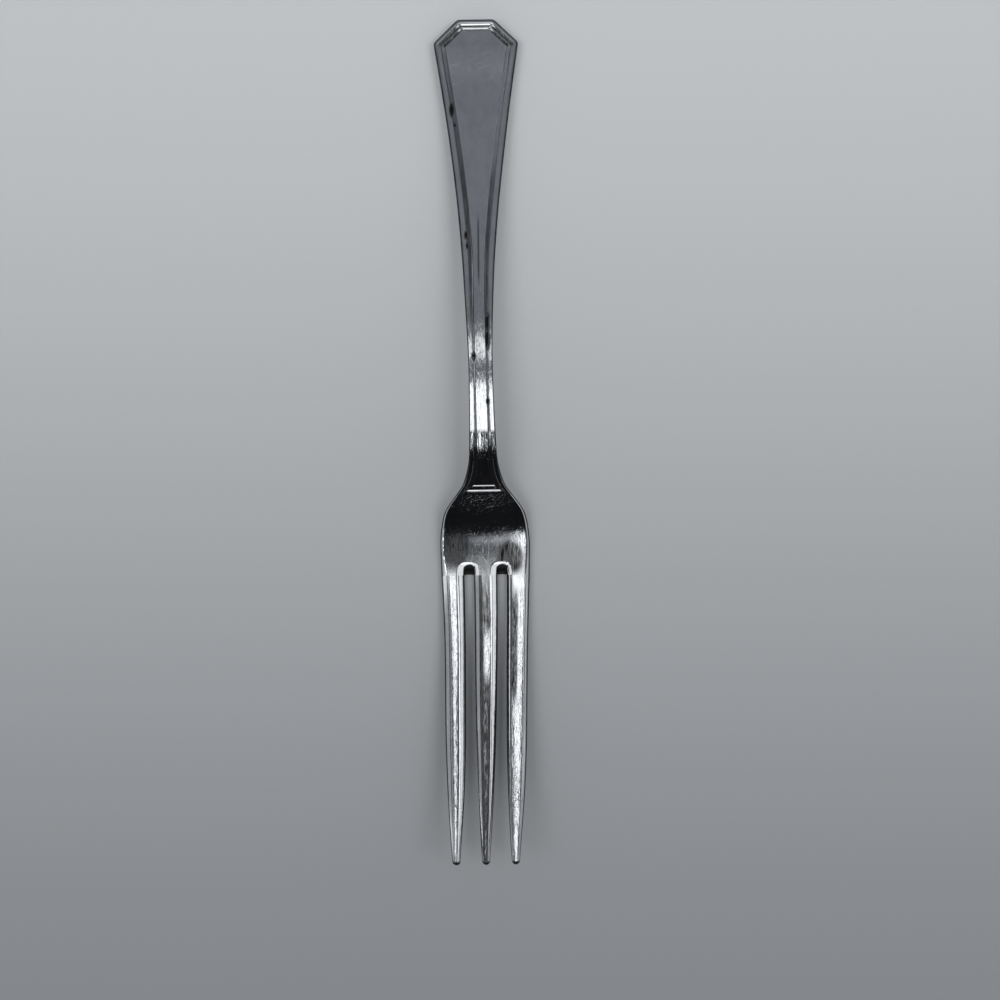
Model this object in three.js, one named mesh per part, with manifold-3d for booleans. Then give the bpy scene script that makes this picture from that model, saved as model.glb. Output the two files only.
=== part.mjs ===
// A three-tined seafood fork struck from one silver-plated blank, modelled as its named regions:
// handle, neck, root and three tines, which meet face to face across the fork.
// Millimetres, +Z up, +Y towards the end of the handle, standing as it lies on a table.
import * as THREE from 'three';
import { mergeVertices } from 'three/addons/utils/BufferGeometryUtils.js';
import Module from 'manifold-3d';

// Lengths of the regions along the fork
const handleLength = 48;
const neckLength = 37.3;
const rootLength = 14.2;
const tineLength = 50.5;

// Handle outline: a straight end with cut corners, then a long taper
const endWidth = 6.5;
const shoulderWidth = 15.1;
const shoulderDepth = 4.2;
const gripWidth = 10.6;
const gripFromEnd = 20;
const taperWidth = 7;
const taperFromEnd = 36;
const handleFootWidth = 5.2;

// Neck outline: a waist, then a flare into the root
const waistWidth = 4.2;
const waistFromHandle = 15;
const stemWidth = 4.8;
const stemFromRoot = 6.6;
const flareWidth = 7.2;
const flareFromRoot = 1.2;
const rootTopWidth = 9.2;

// Root outline: round shoulders above the tines
const rootShoulderWidth = 14.6;
const rootShoulderFromNeck = 4.1;
const rootWidth = 16;
const rootWidestFromNeck = 9;

// Tines and the slots between them
const sideTineWidth = 4.1;
const sideTineMidWidth = 3.66;
const sideTineLowWidth = 2.5;
const sideTineSpread = 11.76;
const sideTineMidSpread = 11.12;
const middleTineWidth = 4.14;
const middleTineMidWidth = 3.5;
const middleTineLowWidth = 2.24;
const taperStart = 26; // from the root to where the points begin to narrow
const lowFromTip = 8.2;
const tipWidth = 1.1;
const tipSpread = 10.56;
const tipRound = 0.9;

// Side profile: height of the underside over the table
const endLandLength = 9;
const neckHeight = 4.9;
const neckPeakFromHandle = 25;
const heelFromNeck = 9.9;
const heelLandLength = 3.8;
const tipHeight = 7.6;
const tineMidHeight = 2.7;

// Thickness of the metal
const endThickness = 1.9;
const neckThickness = 2.9;
const rootThickness = 1.9;
const tineMidThickness = 1.75;
const tipThickness = 1.1;
const handleBackRise = 0.35; // how far the back lifts towards its edges
const neckBackRise = 1;
const headBackRise = 0.25;
const backShares = [0.4, 0.72, 0.93, 1]; // shares of the back's width, from its flat middle outwards
const rootDish = 0.25;

// Edges and the engraved double line that follows the outline
const edgeDrop = 0.5;
const tineEdgeDrop = 0.75;
const handleEdgeRound = 0.32;
const tineEdgeRound = 0.9;
const backEdgeRound = 0.32;
const rimWidth = 0.95;
const outerLineWidth = 0.38;
const outerLineDepth = 0.2;
const ledgeWidth = 0.33;
const innerLineWidth = 0.32;
const innerLineDepth = 0.15;
const leastPanelWidth = 0.9;
const panelCrown = 0.05;
const ridgeHeight = 0.06; // fold along the middle of the neck
const ridgeFromEnd = 35;
const crossLineToRoot = 0.4;
const crossLineSpacing = 0.92;

// Largest shares of the metal that a round or a lift may take where it is thin
const mostDropShare = 0.42;
const mostBackRoundShare = 0.2;
const mostRiseShare = 0.35;
const mostRoundShare = 0.3;

// A round edge as two flats: share of its inset and of its drop where they meet
const edgeBreakInset = 0.3;
const edgeBreakDrop = 0.4;

// Shares of the panel's and the head's width where fold and dish are drawn, and of the round of a point
const panelShares = [0.5, 0];
const dishShares = [0.7, 0.4, 0];
const pointShares = [0.35, 0.7, 0.93];

// Steps of the facets
const handleStep = 2.4;
const neckStep = 1.8;
const headStep = 1.8;
const arcSteps = 6;
const weldsPerMm = 1e4; // points nearer than one of these are joined

const neckStart = handleLength;
const rootStart = neckStart + neckLength;
const tineStart = rootStart + rootLength;
const forkLength = tineStart + tineLength;

// A smooth curve through [place, value] points that never overshoots them
function through(points) {
	const slope = [];
	const rise = (i) => (points[i + 1][1] - points[i][1]) / (points[i + 1][0] - points[i][0]);
	const last = points.length - 1;
	for (let i = 0; i <= last; i++) {
		if (i === 0) slope.push(rise(0));
		else if (i === last) slope.push(rise(last - 1));
		else {
			const before = rise(i - 1);
			const after = rise(i);
			slope.push(before * after <= 0 ? 0 : (2 * before * after) / (before + after));
		}
	}
	return (place) => {
		const at = THREE.MathUtils.clamp(place, points[0][0], points[last][0]);
		let i = 0;
		while (i < last - 1 && at > points[i + 1][0]) i++;
		const span = points[i + 1][0] - points[i][0];
		const u = (at - points[i][0]) / span;
		const v = 1 - u;
		return v * v * (1 + 2 * u) * points[i][1] + u * u * (3 - 2 * u) * points[i + 1][1]
			+ span * u * v * (v * slope[i] - u * slope[i + 1]);
	};
}

// Straight lines through [place, value] points
function polyline(points) {
	return (place) => {
		let i = 0;
		while (i < points.length - 2 && place > points[i + 1][0]) i++;
		const u = (place - points[i][0]) / (points[i + 1][0] - points[i][0]);
		return THREE.MathUtils.lerp(points[i][1], points[i + 1][1], THREE.MathUtils.clamp(u, 0, 1));
	};
}

function evenly(from, to, step) {
	const count = Math.max(1, Math.round((to - from) / step));
	return Array.from({ length: count + 1 }, (_, i) => from + ((to - from) * i) / count);
}

// Tines: half spread and width by station, drawn in to a blunt round point
const taperAt = tineStart + taperStart;
const lowAt = forkLength - lowFromTip;
const sideCentre = through([
	[tineStart, sideTineSpread / 2],
	[tineStart + taperStart / 2, sideTineMidSpread / 2],
	[forkLength, tipSpread / 2],
]);
const tineWidths = (width, midWidth, lowWidth) => through([
	[tineStart, width], [taperAt, midWidth], [lowAt, lowWidth], [forkLength, tipWidth],
]);
const sideWidth = tineWidths(sideTineWidth, sideTineMidWidth, sideTineLowWidth);
const middleWidth = tineWidths(middleTineWidth, middleTineMidWidth, middleTineLowWidth);

// Share of the full section that is left as the point rounds off
function pointShare(t) {
	const blunt = pointShares[pointShares.length - 1];
	const into = THREE.MathUtils.clamp((t - forkLength + tipRound) / tipRound, 0, blunt);
	return Math.sqrt(1 - into * into);
}
const slotOuter = (t) => sideCentre(t) - (sideWidth(t) * pointShare(t)) / 2;
const slotInner = (t) => (middleWidth(t) * pointShare(t)) / 2;
const slotMiddle = (slotOuter(tineStart) + slotInner(tineStart)) / 2;
const pastPoint = forkLength + tipRound;
const tineOuter = (t) => sideCentre(t) + (sideWidth(t) * pointShare(t)) / 2;

// Outline: half width by station, before the end's cut corners
const bodyHalf = through([
	[shoulderDepth, shoulderWidth / 2],
	[gripFromEnd, gripWidth / 2],
	[taperFromEnd, taperWidth / 2],
	[neckStart, handleFootWidth / 2],
	[neckStart + waistFromHandle, waistWidth / 2],
	[rootStart - stemFromRoot, stemWidth / 2],
	[rootStart - flareFromRoot, flareWidth / 2],
	[rootStart, rootTopWidth / 2],
	[rootStart + rootShoulderFromNeck, rootShoulderWidth / 2],
	[rootStart + rootWidestFromNeck, rootWidth / 2],
	[tineStart, tineOuter(tineStart)],
]);
const sideHalf = (t) => (t > tineStart ? tineOuter(t) : bodyHalf(t));
const cornerSlope = (shoulderWidth - endWidth) / 2 / shoulderDepth;
const cornerStretch = Math.hypot(1, cornerSlope);

// Insets of the rim, the two lines, the ledge between them and the panel inside
const ledgeOuter = rimWidth + outerLineWidth;
const ledgeInner = ledgeOuter + ledgeWidth;
const panelInset = ledgeInner + innerLineWidth;
const outerLine = rimWidth + outerLineWidth / 2;
const innerLine = ledgeInner + innerLineWidth / 2;
const reliefInsets = [rimWidth, outerLine, ledgeOuter, ledgeInner, innerLine, panelInset];
const reliefHeight = polyline([
	[rimWidth, 0], [outerLine, -outerLineDepth], [ledgeOuter, 0],
	[ledgeInner, 0], [innerLine, -innerLineDepth], [panelInset, 0],
]);

// The border narrows where the neck leaves too little room for the panel
function borderShare(t) {
	return Math.min(1, (bodyHalf(t) - leastPanelWidth / 2) / panelInset);
}
function insetHalf(inset, t) {
	const corner = endWidth / 2 + t * cornerSlope - inset * cornerStretch;
	return Math.min(sideHalf(t) - inset * borderShare(t), corner);
}

// Side profile, thickness and back by station
const heel = rootStart + heelFromNeck;
const neckPeak = neckStart + neckPeakFromHandle;
const underside = through([
	[0, 0], [endLandLength, 0], [neckPeak, neckHeight],
	[heel - heelLandLength / 2, 0], [heel + heelLandLength / 2, 0],
	[taperAt, tineMidHeight], [forkLength, tipHeight],
]);
const fullThickness = through([
	[0, endThickness], [neckPeak, neckThickness], [heel, rootThickness],
	[taperAt, tineMidThickness], [forkLength, tipThickness],
]);
const backRise = through([
	[taperFromEnd, handleBackRise], [neckPeak, neckBackRise], [heel, headBackRise],
]);
const edgeRound = through([[rootStart, handleEdgeRound], [tineStart, tineEdgeRound]]);
const edgeFall = through([[rootStart, edgeDrop], [tineStart, tineEdgeDrop]]);
const dish = through([[rootStart, 0], [heel, rootDish], [taperAt, 0]]);
const ridge = through([
	[ridgeFromEnd, panelCrown], [neckPeak, panelCrown + ridgeHeight],
	[rootStart - crossLineToRoot - 2 * crossLineSpacing, 0],
]);

const thickness = (t) => fullThickness(t) * pointShare(t);
const backAt = (t) => underside(t) + (fullThickness(t) - thickness(t)) / 2;
const rimAt = (t) => backAt(t) + thickness(t);
const dropAt = (t) => Math.min(edgeFall(t), mostDropShare * thickness(t));
const backRoundAt = (t) => Math.min(backEdgeRound, mostBackRoundShare * thickness(t));
const riseAt = (t) => Math.min(backRise(t), mostRiseShare * thickness(t));
const roundAt = (t) => Math.min(edgeRound(t), mostRoundShare * middleWidth(t) * pointShare(t));

// Height of the face below the rim's plane at an inset, with the round edge all along
function edgeHeight(inset, t) {
	const round = roundAt(t);
	return dropAt(t) * polyline([[0, -1], [edgeBreakInset * round, -edgeBreakDrop], [round, 0]])(inset);
}

// The lines cross the handle again just above the root
const crossLine = rootStart - crossLineToRoot;
const crossRate = (innerLine - outerLine) / crossLineSpacing;
const crossInset = (t) => Math.max(rimWidth, outerLine + (crossLine - t) * crossRate);

const yAt = (t) => forkLength / 2 - t;
const pair = (half, t, z) => [new THREE.Vector3(-half, yAt(t), z), new THREE.Vector3(half, yAt(t), z)];

// Levels of the back, from its flat middle out to the side wall, drawn up round the handle's end
function backLevels(stations) {
	const endShare = (t) => Math.max(0, 1 - t / handleEdgeRound) ** 2;
	const wall = (t) => backAt(t) + riseAt(t) + backRoundAt(t);
	const land = backShares[0];
	return backShares.map((share) => stations.map((t) => {
		const lift = ((share - land) / (1 - land)) ** 2;
		const z = share < 1 ? backAt(t) + riseAt(t) * lift : wall(t);
		const reach = THREE.MathUtils.lerp(share, 1, endShare(t)) * insetHalf(0, t);
		return pair(reach, t, THREE.MathUtils.lerp(z, wall(t), endShare(t)));
	}));
}

// Handle or neck: the round edge, the double line and the panel folded along its middle
function gripLevels(stations) {
	const face = (inset, t) => {
		const least = Math.min(inset, t, crossInset(t));
		return edgeHeight(least, t) + reliefHeight(least);
	};
	const insets = (t) => [0, edgeBreakInset * roundAt(t), roundAt(t), ...reliefInsets];
	const levels = backLevels(stations);
	insets(0).forEach((_, i) => levels.push(stations.map((t) => {
		const inset = insets(t)[i];
		return pair(insetHalf(inset, t), t, rimAt(t) + face(inset, t));
	})));
	panelShares.forEach((share) => levels.push(stations.map((t) => {
		const inPanel = THREE.MathUtils.clamp((t - panelInset) / panelInset, 0, 1);
		const fold = ridge(t) * inPanel * (1 - share);
		return pair(share * insetHalf(panelInset, t), t, rimAt(t) + face(panelInset, t) + fold);
	})));
	return levels;
}

// Root and tines before the slots are pierced: a plate with round edges and a shallow dish
function headLevels(stations) {
	const levels = backLevels(stations);
	[0, edgeBreakInset, 1].forEach((share) => levels.push(stations.map((t) => {
		const inset = share * roundAt(t);
		return pair(insetHalf(inset, t), t, rimAt(t) + edgeHeight(inset, t));
	})));
	dishShares.forEach((share) => levels.push(stations.map((t) => {
		return pair(share * insetHalf(roundAt(t), t), t, faceAt(share, t));
	})));
	return levels;
}
const faceAt = (share, t) => rimAt(t) - dish(t) * (1 - share * share);

// A slot: a flared cut with a round end, open at the points and drawn together beyond them
function slotLevels(stations, side) {
	const radius = (slotOuter(tineStart) - slotInner(tineStart)) / 2;
	const face = (t) => faceAt(slotMiddle / sideHalf(t), t);
	const profile = [
		{ flare: (t) => 2 * backRoundAt(t), z: (t) => backAt(t) - backRoundAt(t) },
		{ flare: () => 0, z: (t) => backAt(t) + backRoundAt(t) },
		{ flare: () => 0, z: (t) => face(t) - dropAt(t) },
		{ flare: (t) => edgeBreakInset * roundAt(t), z: (t) => face(t) - edgeBreakDrop * dropAt(t) },
		{ flare: (t) => (2 - edgeBreakInset) * roundAt(t), z: (t) => face(t) + edgeBreakDrop * dropAt(t) },
	];
	const across = (near, far, t, z) => [near, far]
		.map((x) => new THREE.Vector3(side * x, yAt(t), z))
		.sort((a, b) => a.x - b.x);
	return profile.map(({ flare, z }) => {
		const round = Array.from({ length: arcSteps }, (_, i) => {
			const angle = (Math.PI / 2) * (1 - i / arcSteps);
			const reach = (radius + flare(tineStart)) * (i === 0 ? 0 : Math.cos(angle));
			const t = tineStart - (radius + flare(tineStart)) * Math.sin(angle);
			return across(slotMiddle - reach, slotMiddle + reach, t, z(t));
		});
		const straight = stations.map((t) => across(slotInner(t) - flare(t), slotOuter(t) + flare(t), t, z(t)));
		const close = across(slotMiddle, slotMiddle, pastPoint, z(forkLength));
		return [...round, ...straight, close];
	});
}

// Closed solid from levels of point pairs, stacked from the back to the face
function levelSolid(levels) {
	const points = [];
	const places = new Map();
	const index = (v) => {
		const key = v.toArray().map((n) => Math.round(n * weldsPerMm)).join(' ');
		if (!places.has(key)) places.set(key, points.push(v) - 1);
		return places.get(key);
	};
	const triangles = [];
	const quad = (...corners) => {
		const [a, b, c, d] = corners.map(index);
		for (const [p, q, r] of [[a, b, c], [a, c, d]]) {
			if (p !== q && q !== r && p !== r) triangles.push(p, q, r);
		}
	};
	const first = levels[0];
	const top = levels[levels.length - 1];
	const end = first.length - 1;
	for (let i = 0; i < end; i++) {
		quad(first[i][0], first[i][1], first[i + 1][1], first[i + 1][0]);
		quad(top[i][0], top[i + 1][0], top[i + 1][1], top[i][1]);
	}
	for (let k = 0; k < levels.length - 1; k++) {
		const low = levels[k];
		const high = levels[k + 1];
		for (let i = 0; i < end; i++) {
			quad(low[i][0], low[i + 1][0], high[i + 1][0], high[i][0]);
			quad(low[i][1], high[i][1], high[i + 1][1], low[i + 1][1]);
		}
		if (first[0][0].equals(first[0][1])) continue;
		quad(first[0][0], first[0][0], low[0][0], high[0][0]);
		quad(first[0][1], first[0][1], high[0][1], low[0][1]);
		quad(first[end][0], first[end][0], high[end][0], low[end][0]);
		quad(first[end][1], first[end][1], low[end][1], high[end][1]);
	}
	if (!first[0][0].equals(first[0][1])) {
		quad(first[0][0], top[0][0], top[0][1], first[0][1]);
		quad(first[end][0], first[end][1], top[end][1], top[end][0]);
	}
	const geometry = new THREE.BufferGeometry().setFromPoints(points);
	return geometry.setIndex(triangles);
}

const wasm = await Module();
wasm.setup();

function toSolid(geometry) {
	const bare = geometry.clone();
	bare.deleteAttribute('normal');
	bare.deleteAttribute('uv');
	const merged = mergeVertices(bare);
	return new wasm.Manifold(new wasm.Mesh({
		numProp: 3,
		vertProperties: merged.attributes.position.array,
		triVerts: new Uint32Array(merged.index.array),
	}));
}

function toGeometry(solid) {
	const mesh = solid.getMesh();
	const geometry = new THREE.BufferGeometry();
	geometry.setAttribute('position', new THREE.BufferAttribute(mesh.vertProperties, 3));
	return geometry.setIndex(new THREE.BufferAttribute(mesh.triVerts, 1));
}

// Part of the head between two x values, on one side of the plane where the tines begin
function region(solid, fromX, toX, fromT, toT) {
	const block = new THREE.BoxGeometry(toX - fromX, toT - fromT, forkLength);
	block.translate((fromX + toX) / 2, yAt((fromT + toT) / 2), 0);
	return toGeometry(solid.intersect(toSolid(block)));
}

const silver = (color, roughness) => new THREE.MeshStandardMaterial({ color, roughness, metalness: 1 });
const fork = new THREE.Group();

function addRegion(name, geometry, material) {
	geometry.computeVertexNormals();
	const mesh = new THREE.Mesh(geometry, material);
	mesh.name = name;
	fork.add(mesh);
}

// Stations: each border line at the end, where its corners turn, and along the taper
const lineStations = [0, edgeBreakInset * handleEdgeRound, handleEdgeRound, ...reliefInsets];
const cornerRun = (cornerStretch - 1) / (cornerSlope + (shoulderWidth - gripWidth) / 2 / gripFromEnd);
const cornerStations = lineStations.map((inset) => shoulderDepth + inset * cornerRun);
const lastCorner = cornerStations[cornerStations.length - 1];
const handleStations = [
	...lineStations, ...cornerStations, ...evenly(lastCorner, handleLength, handleStep).slice(1),
];
const crossStations = reliefInsets.map((inset) => crossLine - (inset - outerLine) / crossRate).reverse();
const neckStations = [
	...evenly(neckStart, crossStations[0], neckStep), ...crossStations.slice(1), rootStart,
];
const pointStations = [...pointShares, 1].map((share) => forkLength - tipRound + share * tipRound);
const tineStations = [...evenly(tineStart, forkLength - tipRound, headStep), ...pointStations];
const headStations = [...evenly(rootStart, tineStart, headStep).slice(0, -1), ...tineStations];

const blank = toSolid(levelSolid(headLevels(headStations)));
const [rightSlot, leftSlot] = [1, -1].map((side) => toSolid(levelSolid(slotLevels(tineStations, side))));
const head = blank.subtract(rightSlot).subtract(leftSlot);

addRegion('handle', levelSolid(gripLevels(handleStations)), silver(0xb4b6bb, 0.34));
addRegion('neck', levelSolid(gripLevels(neckStations)), silver(0xc2c4c8, 0.22));
addRegion('root', region(head, -rootWidth, rootWidth, neckStart, tineStart), silver(0xbcbec3, 0.26));
addRegion('tine_left', region(head, -rootWidth, -slotMiddle, tineStart, pastPoint), silver(0xc8cace, 0.18));
addRegion('tine_middle', region(head, -slotMiddle, slotMiddle, tineStart, pastPoint), silver(0xc8cace, 0.18));
addRegion('tine_right', region(head, slotMiddle, rootWidth, tineStart, pastPoint), silver(0xc8cace, 0.18));

export default fork;
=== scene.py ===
import math
from functools import partial

import bmesh
import bpy
import numpy as np
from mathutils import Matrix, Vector


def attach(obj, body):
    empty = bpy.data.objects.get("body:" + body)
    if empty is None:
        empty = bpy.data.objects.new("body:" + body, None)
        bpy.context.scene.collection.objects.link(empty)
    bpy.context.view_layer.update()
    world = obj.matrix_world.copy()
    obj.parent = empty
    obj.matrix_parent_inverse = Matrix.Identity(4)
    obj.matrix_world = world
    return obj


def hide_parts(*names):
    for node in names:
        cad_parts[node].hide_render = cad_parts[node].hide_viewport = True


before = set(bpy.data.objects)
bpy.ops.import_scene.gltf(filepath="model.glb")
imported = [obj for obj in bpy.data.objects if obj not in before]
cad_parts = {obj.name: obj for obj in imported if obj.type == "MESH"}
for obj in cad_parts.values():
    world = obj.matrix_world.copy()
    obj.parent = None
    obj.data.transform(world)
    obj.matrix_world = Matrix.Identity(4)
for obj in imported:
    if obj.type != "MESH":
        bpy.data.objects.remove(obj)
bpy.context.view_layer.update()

mm = 0.001
print("frame loaded:", sorted(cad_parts))

# Sizes in millimetres. A station is a distance from the handle's end, measured along the fork.
fork = {
    "length": 150.0,
    "neckStart": 48.0,
    "rootStart": 85.3,
    "tineStart": 99.7,
    "taperAt": 125.5,
    "underside": [(0, 0), (9, 0), (74.2, 4.9), (94.2, 0), (96.2, 0), (125.5, 2.7), (150, 7.6)],
    "thickness": [(0, 1.9), (14, 2.2), (74.2, 2.9), (95.2, 1.9), (125.5, 1.75), (150, 1.1)],
    "backRise": [(0, 0.35), (36, 0.35), (73, 1.0), (95.2, 0.25), (99.7, 0.0)],
    "backFlat": 0.3,  # share of the back's half width that is flat
    "half": [
        (4.2, 7.6), (20, 5.3), (36, 3.5), (48, 2.66), (63, 2.15), (78.2, 2.45),
        (83.6, 3.75), (84.9, 4.75), (89, 7.4), (94, 8.05), (99.7, 7.93),
    ],
    "bend": [  # how far the used fork has bent sideways
        (0, 0.02), (20, 0.02), (50, -0.13), (68, 0.02), (86, 0.18),
        (105, 0.16), (123, -0.09), (138, -0.3), (150, -0.57),
    ],
}
curveSteps = 6001


def blurred(values, reach):
    count = max(1, int(3 * reach))
    weight = np.exp(-0.5 * (np.arange(-count, count + 1) / max(reach, 1e-6)) ** 2)
    padded = np.pad(values, count, mode="reflect", reflect_type="odd")
    return np.convolve(padded, weight / weight.sum(), mode="valid")


def throughPoints(points, blur=0.0):  # a curve that never overshoots its points, softened over blur mm
    at = np.array([p[0] for p in points], float)
    value = np.array([p[1] for p in points], float)
    rise = np.diff(value) / np.diff(at)
    slope = np.concatenate([rise[:1], np.zeros(len(at) - 2), rise[-1:]])
    for i in range(1, len(at) - 1):
        if rise[i - 1] * rise[i] > 0:
            slope[i] = 2 * rise[i - 1] * rise[i] / (rise[i - 1] + rise[i])
    place = np.linspace(at[0], at[-1], curveSteps)
    k = np.clip(np.searchsorted(at, place, side="right") - 1, 0, len(at) - 2)
    span = at[k + 1] - at[k]
    u = (place - at[k]) / span
    v = 1 - u
    curve = (v * v * (1 + 2 * u) * value[k] + u * u * (3 - 2 * u) * value[k + 1]
             + span * u * v * (v * slope[k] - u * slope[k + 1]))
    if blur:
        curve = blurred(curve, blur / (place[1] - place[0]))
    return lambda t: np.interp(t, place, curve)


def smoothRise(value, start, end):
    u = np.clip((value - start) / (end - start), 0, 1)
    return u * u * (3 - 2 * u)


def band(value, opens, opened, closes, closed):
    return smoothRise(value, opens, opened) * (1 - smoothRise(value, closes, closed))


def yAt(station):
    return (fork["length"] / 2 - station) * mm


def stationAt(y):
    return fork["length"] / 2 - y / mm


def spread(points):  # x, station and height, in mm, to a place in the frame
    x, t, z = np.broadcast_arrays(*points)
    return np.stack([x * mm, yAt(t), z * mm], axis=-1)


halfAt = throughPoints(fork["half"], blur=0.7)
undersideAt = throughPoints(fork["underside"], blur=0.9)
thicknessAt = throughPoints(fork["thickness"], blur=1.5)
backRiseAt = throughPoints(fork["backRise"], blur=1.5)
bendAt = throughPoints(fork["bend"], blur=3)

# Tines: one bevelled section drawn along each tine and closed in a round point. Pairs are shares: an effect
# begins at the first and is full at the second.
tine = {
    "length": 50.3,
    "rows": 150,
    "rowBias": 1.5,  # rows draw together towards the point
    "spread": [(0, 5.88), (5, 5.74), (14, 5.55), (30, 5.42), (50.3, 5.2)],
    "side": [(0, 2.05), (10, 1.92), (28, 1.82), (36, 1.6), (43, 1.2), (50.3, 0.66)],
    "middle": [(0, 2.1), (14, 2.02), (26, 1.82), (42.3, 1.16), (50.3, 0.66)],
    "tipRound": 0.55,
    "height": 7.6, "thickness": 1.9, "samples": 56,
    "curveBase": 0.5,  # a curve node holds 0 to 1
    "faceFrom": 0.4,  # of the thickness
    "crown": 0.05,  # of the thickness, that the face falls
    "crownFrom": (0.15, 0.55),  # of the length
    # painted reflection: how dark the line along each ridge between face and bevel is painted
    "ridgeDarkLine": 0.95,
    "ridgeReach": 0.13,  # of the face's half width
    "ridgeFade": 0.2,  # of the length
    "wallFrom": (0.82, 0.93),  # of the half width
    "wallFade": (0.1, 0.42),  # of the thickness
    "tipAt": (0.983, 0.99),  # of the length
    "wornFrom": (0.0, 0.12),  # of the length
    "wearEdge": (1.05, 0.9),  # of the face's half width
    "bevelWear": 0.12,  # of the worn ripple
    "darkPatchFull": 0.5,  # of a painted dark patch's half size
    "darkPatchEdge": (1.06, 0.96),  # of the face's half width
    "gapFull": 0.1, "gapAcross": (-0.35, 0.0),
    # each tine's painted dark reflection patch, the lighter gap in it, and where its painted dark ridge lines
    # end
    "marks": ("Dark Patch Along", "Dark Patch Length", "Dark Patch Across", "Dark Patch Width", "Dark Patch Depth",
              "Gap Along", "Gap Length", "Ridge End"),
    "markSizes": {
        -1: (0.5, 0.5, -0.5, 0.6, 0.3, 0.5, 0.001, 2.0),
        0: (0.62, 0.9, -0.1, 1.2, 0.8, 0.28, 0.13, 2.0),
        1: (0.25, 0.26, -0.45, 0.6, 0.85, 0.5, 0.001, 0.66),
    },
}

# The rounded edge all round the face, and the bevels of the tines as shares of their half width
edge = {
    "width": [(0, 0.14), (76, 0.16), (86, 0.36), (95, 0.42)],
    "drop": [(0, 0.24), (76, 0.26), (86, 0.4), (95, 0.5), (99.7, 0.93)],
    "dropShare": 0.5,  # of a tine's thickness
    "bevels": {-1: (0.48, 0.7), 0: (0.45, 0.64), 1: (0.44, 0.33)},  # left and right of each tine
    "backShare": 0.28, "backRound": 0.4,
    "slope": [(0, 66), (0.06, 48), (0.12, 41), (0.93, 28), (0.97, 20), (1, 6)],  # degrees, inwards
    "slopeSteps": 801,
    "steps": [0, 0.025, 0.06, 0.1, 0.15, 0.22, 0.32, 0.44, 0.58, 0.7, 0.8, 0.88, 0.94, 0.975, 1.0],
    "backSteps": [0, 0.03, 0.1, 0.22, 0.4, 0.62, 0.82, 1.0],
    "flatSteps": 8,
    "wallShadeSteps": [1.0, 0.45, 0.2, 0.08],  # painted shade on the side walls, from face to back
    "outlineShadeReach": (0.16, 0.42),  # mm in from the outline, where the painted shade along the outline fades
}
edgeSteps = np.array(edge["steps"])
backSteps = np.array(edge["backSteps"])
# painted shade: the side walls darken towards the face, as a dark outline
paintedWallShade = np.array(edge["wallShadeSteps"])[:, None]
backProfile = 1 - np.sqrt(1 - (1 - backSteps) ** 2)  # a quarter round, from the wall inwards


def roundedEdge(slopes):  # share of the drop still left at a share of the width
    share = np.linspace(0, 1, edge["slopeSteps"])
    steep = np.tan(np.radians(np.interp(share, *zip(*slopes))))
    fallen = np.concatenate([[0], np.cumsum((steep[1:] + steep[:-1]) / 2)])
    return lambda q: np.interp(q, share, 1 - fallen / fallen[-1])


def edgeCurve(last):  # width of the outer edge, up to its width where the tines start
    return throughPoints(edge["width"] + [(fork["tineStart"], last)], blur=0.8)


def wallRows(top, foot):
    return np.array([top * (1 - s) + foot * s for s in np.linspace(0, 1, len(paintedWallShade))])


edgeProfile = roundedEdge(edge["slope"])
edgeDropAt = throughPoints(edge["drop"], blur=0.8)

# Black spots of old polish: place across, station, half width and half length
spots = [
    (-4.47, 16.3, 0.4, 1.1), (-4.0, 19.1, 0.24, 0.45), (-2.25, 39.2, 0.26, 0.65), (-2.05, 41.1, 0.22, 0.5),
    (1.32, 55.2, 0.37, 1.6), (1.32, 58.0, 0.4, 1.6), (-1.2, 60.9, 0.32, 0.65), (1.15, 68.9, 0.31, 0.55),
]
spotEnd = 1.5  # a spot is gone at this many times its half size
# Joining meshes: reach of a weld, shortest edge, reach of a seam, how squarely its faces lie
joint = {"weld": 0.0008 * mm, "tiny": 0.0002 * mm, "seam": 0.002 * mm, "square": 0.999}


def spotAt(place):
    near = 0.0
    for across, station, wide, long in spots:
        far = math.hypot((place.x / mm - across) / wide, (stationAt(place.y) - station) / long)
        near = max(near, min(1.0, (spotEnd - far) / (spotEnd - 1)))
    return near


def makePiece(name, patches, seams):
    # joins grids of points into one closed mesh; a patch without a side is made on both sides
    bm = bmesh.new()
    # the grime attribute carries tarnish and dirt together with painted shade and painted dark reflections
    grimeAndShade = bm.verts.layers.float.new("grimeAndShade")
    for points, dirt, *turns in patches:
        rows, columns = points.shape[:2]
        onTop = isinstance(dirt, np.ndarray)
        dirt = np.broadcast_to(dirt, (rows, columns))
        aside = bendAt(stationAt(points[..., 1])) * mm
        for turn in turns or (1, -1):
            made = [[bm.verts.new((turn * p[0] + b, p[1], p[2])) for p, b in zip(*row)]
                    for row in zip(points, aside)]
            for i in range(rows):
                for j in range(columns):
                    spot = spotAt(made[i][j].co) if onTop else 0.0
                    made[i][j][grimeAndShade] = max(float(dirt[i, j]), spot)
            for i in range(rows - 1):
                for j in range(columns - 1):
                    corners = (made[i][j], made[i + 1][j], made[i + 1][j + 1], made[i][j + 1])
                    bm.faces.new(corners if turn == 1 else corners[::-1])
    bmesh.ops.remove_doubles(bm, verts=bm.verts, dist=joint["weld"])
    bmesh.ops.dissolve_degenerate(bm, edges=bm.edges, dist=joint["tiny"])
    openEdges = [e for e in bm.edges if e.is_boundary]
    bmesh.ops.holes_fill(bm, edges=openEdges, sides=0)
    return finishMesh(name, bm, seams)


def newObject(name, data):
    made = bpy.data.objects.new(name, data)
    bpy.context.scene.collection.objects.link(made)
    return made


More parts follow.
